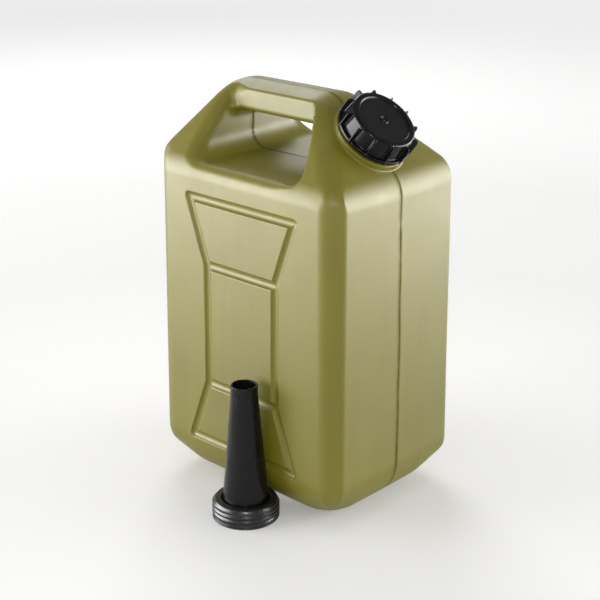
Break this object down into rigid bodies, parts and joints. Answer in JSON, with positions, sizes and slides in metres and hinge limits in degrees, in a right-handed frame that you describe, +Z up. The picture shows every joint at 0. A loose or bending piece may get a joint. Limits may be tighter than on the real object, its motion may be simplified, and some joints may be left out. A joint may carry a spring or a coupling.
{
  "type": "fuel can with pouring spout",
  "caption": "Blow-moulded plastic fuel can with an integral top handle, a slanted screw-capped neck, hourglass side channels and a separate tapered pouring spout.",
  "frame": {"origin": "centre of the can's flat base, on the surface it stands on", "axes": "+Z up; X along the can's long side with the filler neck at +X; the spout stands at -Y"},
  "size_m": [0.182, 0.1762, 0.3019],
  "materials": {
    "olive_polyethylene": "satin moulded polyethylene, olive green",
    "black_cap_plastic": "glossy black moulded plastic with a matte top panel",
    "black_spout_plastic": "satin black moulded plastic",
    "seal_rubber": "matte black sealing rubber"
  },
  "bodies": {
    "can": {"can_body": "olive_polyethylene"},
    "cap_carrier": {"cap_gasket": "seal_rubber"},
    "cap": {"cap": "black_cap_plastic"},
    "spout": {"spout_nozzle": "black_spout_plastic", "spout_gasket": "seal_rubber"},
    "collar": {"spout_collar": "black_spout_plastic"}
  },
  "joints": [
    {"name": "cap_lift", "type": "slide", "parent": "can", "child": "cap_carrier", "axis": [0.6428, 0, 0.766], "range_m": [0, 0.021]},
    {"name": "cap_turn", "type": "hinge", "parent": "cap_carrier", "child": "cap", "pos_m": [0.061, 0, 0.27195], "axis": [0.6428, 0, 0.766], "range_deg": [0, 2160]},
    {"name": "spout_pick_up", "type": "slide", "parent": "can", "child": "spout", "axis": [0, -0.7071, 0.7071], "range_m": [0, 0.12]},
    {"name": "collar_spin", "type": "hinge", "parent": "spout", "child": "collar", "pos_m": [0.0185, -0.0832, 0], "axis": [0, 0, 1], "continuous": true}
  ],
  "couplings": [
    {"joint": "cap_lift", "follows": "cap_turn", "m_per_rad": 0.00055704}
  ]
}
